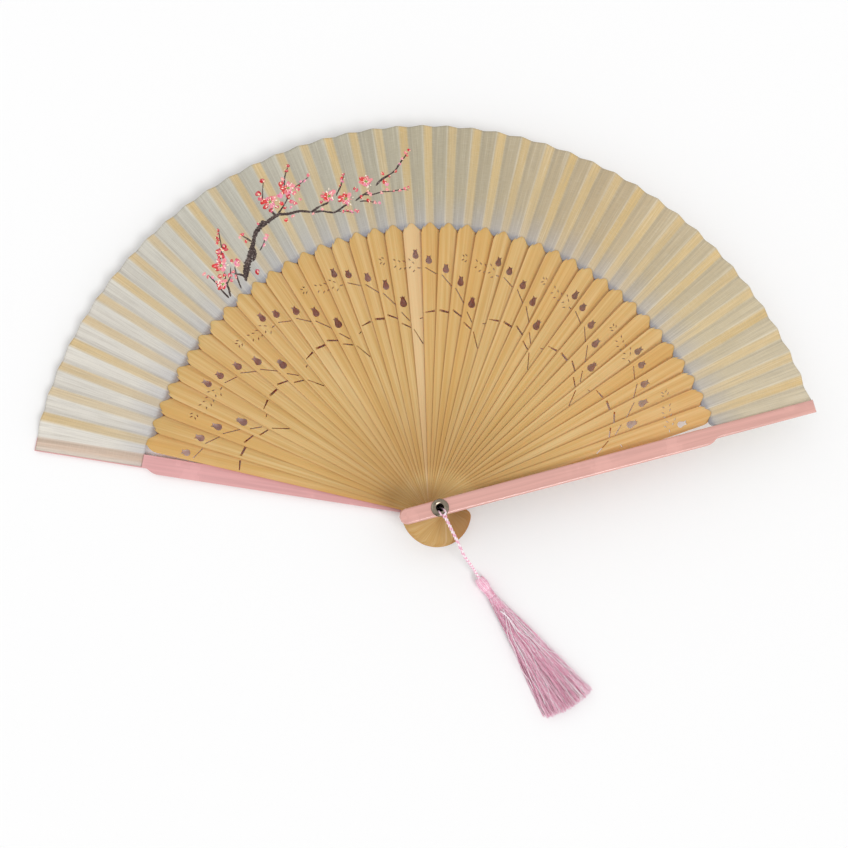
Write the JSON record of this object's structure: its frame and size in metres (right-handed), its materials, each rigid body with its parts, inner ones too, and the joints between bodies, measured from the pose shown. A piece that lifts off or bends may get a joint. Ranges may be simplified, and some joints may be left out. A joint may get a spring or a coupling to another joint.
{
  "type": "folding fan",
  "caption": "Hand-held folding fan: pierced bamboo ribs and two lacquered guards turn on one metal eyelet and carry a pleated silk leaf, with a tassel on a cord.",
  "frame": {"origin": "on the eyelet's axis, in the plane of the rear guard's outer face, on which the open fan lies", "axes": "+Z along the eyelet from the rear guard to the front guard, +Y down the middle of the open fan away from the eyelet, +X towards the front guard's side"},
  "size_m": [0.3734, 0.2929, 0.0293],
  "materials": {
    "bamboo": "satin, fine straight grain",
    "pink_lacquer": "gloss lacquer on bamboo",
    "silk": "thin translucent silk, painted spray of blossom",
    "metal": "nickel-plated, worn",
    "satin_thread": "glossy twisted satin thread"
  },
  "bodies": {
    "rear_guard_body": {"rear_guard": "pink_lacquer", "eyelet": "metal", "back_washer": "metal", "silk_leaf": "silk", "tassel_cord": "satin_thread", "stopper_knot": "satin_thread", "tassel_head": "satin_thread", "tassel_neck": "satin_thread", "tassel_skirt": "satin_thread"},
    "rib_01": {"rib_01": "bamboo"},
    "rib_02": {"rib_02": "bamboo"},
    "rib_03": {"rib_03": "bamboo"},
    "rib_04": {"rib_04": "bamboo"},
    "rib_05": {"rib_05": "bamboo"},
    "rib_06": {"rib_06": "bamboo"},
    "rib_07": {"rib_07": "bamboo"},
    "rib_08": {"rib_08": "bamboo"},
    "rib_09": {"rib_09": "bamboo"},
    "rib_10": {"rib_10": "bamboo"},
    "rib_11": {"rib_11": "bamboo"},
    "rib_12": {"rib_12": "bamboo"},
    "rib_13": {"rib_13": "bamboo"},
    "rib_14": {"rib_14": "bamboo"},
    "rib_15": {"rib_15": "bamboo"},
    "rib_16": {"rib_16": "bamboo"},
    "rib_17": {"rib_17": "bamboo"},
    "rib_18": {"rib_18": "bamboo"},
    "rib_19": {"rib_19": "bamboo"},
    "rib_20": {"rib_20": "bamboo"},
    "rib_21": {"rib_21": "bamboo"},
    "rib_22": {"rib_22": "bamboo"},
    "rib_23": {"rib_23": "bamboo"},
    "rib_24": {"rib_24": "bamboo"},
    "rib_25": {"rib_25": "bamboo"},
    "rib_26": {"rib_26": "bamboo"},
    "rib_27": {"rib_27": "bamboo"},
    "rib_28": {"rib_28": "bamboo"},
    "rib_29": {"rib_29": "bamboo"},
    "rib_30": {"rib_30": "bamboo"},
    "rib_31": {"rib_31": "bamboo"},
    "rib_32": {"rib_32": "bamboo"},
    "rib_33": {"rib_33": "bamboo"},
    "rib_34": {"rib_34": "bamboo"},
    "rib_35": {"rib_35": "bamboo"},
    "rib_36": {"rib_36": "bamboo"},
    "rib_37": {"rib_37": "bamboo"},
    "rib_38": {"rib_38": "bamboo"},
    "rib_39": {"rib_39": "bamboo"},
    "rib_40": {"rib_40": "bamboo"},
    "front_guard": {"front_guard": "pink_lacquer"}
  },
  "joints": [
    {"name": "fan_fold", "type": "hinge", "parent": "rear_guard_body", "child": "front_guard", "pos_m": [0, 0, 0], "axis": [0, 0, 1], "range_deg": [0, 156.3], "deforming": ["silk_leaf"]},
    {"name": "rib_01_turn", "type": "hinge", "parent": "rear_guard_body", "child": "rib_01", "pos_m": [0, 0, 0], "axis": [0, 0, 1], "range_deg": [0, 4.44]},
    {"name": "rib_02_turn", "type": "hinge", "parent": "rear_guard_body", "child": "rib_02", "pos_m": [0, 0, 0], "axis": [0, 0, 1], "range_deg": [0, 8.22]},
    {"name": "rib_03_turn", "type": "hinge", "parent": "rear_guard_body", "child": "rib_03", "pos_m": [0, 0, 0], "axis": [0, 0, 1], "range_deg": [0, 12]},
    {"name": "rib_04_turn", "type": "hinge", "parent": "rear_guard_body", "child": "rib_04", "pos_m": [0, 0, 0], "axis": [0, 0, 1], "range_deg": [0, 15.78]},
    {"name": "rib_05_turn", "type": "hinge", "parent": "rear_guard_body", "child": "rib_05", "pos_m": [0, 0, 0], "axis": [0, 0, 1], "range_deg": [0, 19.56]},
    {"name": "rib_06_turn", "type": "hinge", "parent": "rear_guard_body", "child": "rib_06", "pos_m": [0, 0, 0], "axis": [0, 0, 1], "range_deg": [0, 23.34]},
    {"name": "rib_07_turn", "type": "hinge", "parent": "rear_guard_body", "child": "rib_07", "pos_m": [0, 0, 0], "axis": [0, 0, 1], "range_deg": [0, 27.12]},
    {"name": "rib_08_turn", "type": "hinge", "parent": "rear_guard_body", "child": "rib_08", "pos_m": [0, 0, 0], "axis": [0, 0, 1], "range_deg": [0, 30.9]},
    {"name": "rib_09_turn", "type": "hinge", "parent": "rear_guard_body", "child": "rib_09", "pos_m": [0, 0, 0], "axis": [0, 0, 1], "range_deg": [0, 34.68]},
    {"name": "rib_10_turn", "type": "hinge", "parent": "rear_guard_body", "child": "rib_10", "pos_m": [0, 0, 0], "axis": [0, 0, 1], "range_deg": [0, 38.47]},
    {"name": "rib_11_turn", "type": "hinge", "parent": "rear_guard_body", "child": "rib_11", "pos_m": [0, 0, 0], "axis": [0, 0, 1], "range_deg": [0, 42.24]},
    {"name": "rib_12_turn", "type": "hinge", "parent": "rear_guard_body", "child": "rib_12", "pos_m": [0, 0, 0], "axis": [0, 0, 1], "range_deg": [0, 46.03]},
    {"name": "rib_13_turn", "type": "hinge", "parent": "rear_guard_body", "child": "rib_13", "pos_m": [0, 0, 0], "axis": [0, 0, 1], "range_deg": [0, 49.81]},
    {"name": "rib_14_turn", "type": "hinge", "parent": "rear_guard_body", "child": "rib_14", "pos_m": [0, 0, 0], "axis": [0, 0, 1], "range_deg": [0, 53.59]},
    {"name": "rib_15_turn", "type": "hinge", "parent": "rear_guard_body", "child": "rib_15", "pos_m": [0, 0, 0], "axis": [0, 0, 1], "range_deg": [0, 57.37]},
    {"name": "rib_16_turn", "type": "hinge", "parent": "rear_guard_body", "child": "rib_16", "pos_m": [0, 0, 0], "axis": [0, 0, 1], "range_deg": [0, 61.15]},
    {"name": "rib_17_turn", "type": "hinge", "parent": "rear_guard_body", "child": "rib_17", "pos_m": [0, 0, 0], "axis": [0, 0, 1], "range_deg": [0, 64.93]},
    {"name": "rib_18_turn", "type": "hinge", "parent": "rear_guard_body", "child": "rib_18", "pos_m": [0, 0, 0], "axis": [0, 0, 1], "range_deg": [0, 68.71]},
    {"name": "rib_19_turn", "type": "hinge", "parent": "rear_guard_body", "child": "rib_19", "pos_m": [0, 0, 0], "axis": [0, 0, 1], "range_deg": [0, 72.49]},
    {"name": "rib_20_turn", "type": "hinge", "parent": "rear_guard_body", "child": "rib_20", "pos_m": [0, 0, 0], "axis": [0, 0, 1], "range_deg": [0, 76.27]},
    {"name": "rib_21_turn", "type": "hinge", "parent": "rear_guard_body", "child": "rib_21", "pos_m": [0, 0, 0], "axis": [0, 0, 1], "range_deg": [0, 80.05]},
    {"name": "rib_22_turn", "type": "hinge", "parent": "rear_guard_body", "child": "rib_22", "pos_m": [0, 0, 0], "axis": [0, 0, 1], "range_deg": [0, 83.83]},
    {"name": "rib_23_turn", "type": "hinge", "parent": "rear_guard_body", "child": "rib_23", "pos_m": [0, 0, 0], "axis": [0, 0, 1], "range_deg": [0, 87.61]},
    {"name": "rib_24_turn", "type": "hinge", "parent": "rear_guard_body", "child": "rib_24", "pos_m": [0, 0, 0], "axis": [0, 0, 1], "range_deg": [0, 91.39]},
    {"name": "rib_25_turn", "type": "hinge", "parent": "rear_guard_body", "child": "rib_25", "pos_m": [0, 0, 0], "axis": [0, 0, 1], "range_deg": [0, 95.17]},
    {"name": "rib_26_turn", "type": "hinge", "parent": "rear_guard_body", "child": "rib_26", "pos_m": [0, 0, 0], "axis": [0, 0, 1], "range_deg": [0, 98.95]},
    {"name": "rib_27_turn", "type": "hinge", "parent": "rear_guard_body", "child": "rib_27", "pos_m": [0, 0, 0], "axis": [0, 0, 1], "range_deg": [0, 102.73]},
    {"name": "rib_28_turn", "type": "hinge", "parent": "rear_guard_body", "child": "rib_28", "pos_m": [0, 0, 0], "axis": [0, 0, 1], "range_deg": [0, 106.51]},
    {"name": "rib_29_turn", "type": "hinge", "parent": "rear_guard_body", "child": "rib_29", "pos_m": [0, 0, 0], "axis": [0, 0, 1], "range_deg": [0, 110.29]},
    {"name": "rib_30_turn", "type": "hinge", "parent": "rear_guard_body", "child": "rib_30", "pos_m": [0, 0, 0], "axis": [0, 0, 1], "range_deg": [0, 114.08]},
    {"name": "rib_31_turn", "type": "hinge", "parent": "rear_guard_body", "child": "rib_31", "pos_m": [0, 0, 0], "axis": [0, 0, 1], "range_deg": [0, 117.86]},
    {"name": "rib_32_turn", "type": "hinge", "parent": "rear_guard_body", "child": "rib_32", "pos_m": [0, 0, 0], "axis": [0, 0, 1], "range_deg": [0, 121.64]},
    {"name": "rib_33_turn", "type": "hinge", "parent": "rear_guard_body", "child": "rib_33", "pos_m": [0, 0, 0], "axis": [0, 0, 1], "range_deg": [0, 125.42]},
    {"name": "rib_34_turn", "type": "hinge", "parent": "rear_guard_body", "child": "rib_34", "pos_m": [0, 0, 0], "axis": [0, 0, 1], "range_deg": [0, 129.2]},
    {"name": "rib_35_turn", "type": "hinge", "parent": "rear_guard_body", "child": "rib_35", "pos_m": [0, 0, 0], "axis": [0, 0, 1], "range_deg": [0, 132.98]},
    {"name": "rib_36_turn", "type": "hinge", "parent": "rear_guard_body", "child": "rib_36", "pos_m": [0, 0, 0], "axis": [0, 0, 1], "range_deg": [0, 136.76]},
    {"name": "rib_37_turn", "type": "hinge", "parent": "rear_guard_body", "child": "rib_37", "pos_m": [0, 0, 0], "axis": [0, 0, 1], "range_deg": [0, 140.54]},
    {"name": "rib_38_turn", "type": "hinge", "parent": "rear_guard_body", "child": "rib_38", "pos_m": [0, 0, 0], "axis": [0, 0, 1], "range_deg": [0, 144.32]},
    {"name": "rib_39_turn", "type": "hinge", "parent": "rear_guard_body", "child": "rib_39", "pos_m": [0, 0, 0], "axis": [0, 0, 1], "range_deg": [0, 148.1]},
    {"name": "rib_40_turn", "type": "hinge", "parent": "rear_guard_body", "child": "rib_40", "pos_m": [0, 0, 0], "axis": [0, 0, 1], "range_deg": [0, 151.88]}
  ],
  "couplings": [
    {"joint": "rib_01_turn", "follows": "fan_fold", "ratio": 0.028346},
    {"joint": "rib_02_turn", "follows": "fan_fold", "ratio": 0.052533},
    {"joint": "rib_03_turn", "follows": "fan_fold", "ratio": 0.076721},
    {"joint": "rib_04_turn", "follows": "fan_fold", "ratio": 0.10091},
    {"joint": "rib_05_turn", "follows": "fan_fold", "ratio": 0.1251},
    {"joint": "rib_06_turn", "follows": "fan_fold", "ratio": 0.14928},
    {"joint": "rib_07_turn", "follows": "fan_fold", "ratio": 0.17347},
    {"joint": "rib_08_turn", "follows": "fan_fold", "ratio": 0.19766},
    {"joint": "rib_09_turn", "follows": "fan_fold", "ratio": 0.22185},
    {"joint": "rib_10_turn", "follows": "fan_fold", "ratio": 0.24603},
    {"joint": "rib_11_turn", "follows": "fan_fold", "ratio": 0.27022},
    {"joint": "rib_12_turn", "follows": "fan_fold", "ratio": 0.29441},
    {"joint": "rib_13_turn", "follows": "fan_fold", "ratio": 0.31859},
    {"joint": "rib_14_turn", "follows": "fan_fold", "ratio": 0.34278},
    {"joint": "rib_15_turn", "follows": "fan_fold", "ratio": 0.36697},
    {"joint": "rib_16_turn", "follows": "fan_fold", "ratio": 0.39116},
    {"joint": "rib_17_turn", "follows": "fan_fold", "ratio": 0.41534},
    {"joint": "rib_18_turn", "follows": "fan_fold", "ratio": 0.43953},
    {"joint": "rib_19_turn", "follows": "fan_fold", "ratio": 0.46372},
    {"joint": "rib_20_turn", "follows": "fan_fold", "ratio": 0.48791},
    {"joint": "rib_21_turn", "follows": "fan_fold", "ratio": 0.51209},
    {"joint": "rib_22_turn", "follows": "fan_fold", "ratio": 0.53628},
    {"joint": "rib_23_turn", "follows": "fan_fold", "ratio": 0.56047},
    {"joint": "rib_24_turn", "follows": "fan_fold", "ratio": 0.58466},
    {"joint": "rib_25_turn", "follows": "fan_fold", "ratio": 0.60884},
    {"joint": "rib_26_turn", "follows": "fan_fold", "ratio": 0.63303},
    {"joint": "rib_27_turn", "follows": "fan_fold", "ratio": 0.65722},
    {"joint": "rib_28_turn", "follows": "fan_fold", "ratio": 0.68141},
    {"joint": "rib_29_turn", "follows": "fan_fold", "ratio": 0.70559},
    {"joint": "rib_30_turn", "follows": "fan_fold", "ratio": 0.72978},
    {"joint": "rib_31_turn", "follows": "fan_fold", "ratio": 0.75397},
    {"joint": "rib_32_turn", "follows": "fan_fold", "ratio": 0.77815},
    {"joint": "rib_33_turn", "follows": "fan_fold", "ratio": 0.80234},
    {"joint": "rib_34_turn", "follows": "fan_fold", "ratio": 0.82653},
    {"joint": "rib_35_turn", "follows": "fan_fold", "ratio": 0.85072},
    {"joint": "rib_36_turn", "follows": "fan_fold", "ratio": 0.8749},
    {"joint": "rib_37_turn", "follows": "fan_fold", "ratio": 0.89909},
    {"joint": "rib_38_turn", "follows": "fan_fold", "ratio": 0.92328},
    {"joint": "rib_39_turn", "follows": "fan_fold", "ratio": 0.94747},
    {"joint": "rib_40_turn", "follows": "fan_fold", "ratio": 0.97165}
  ]
}
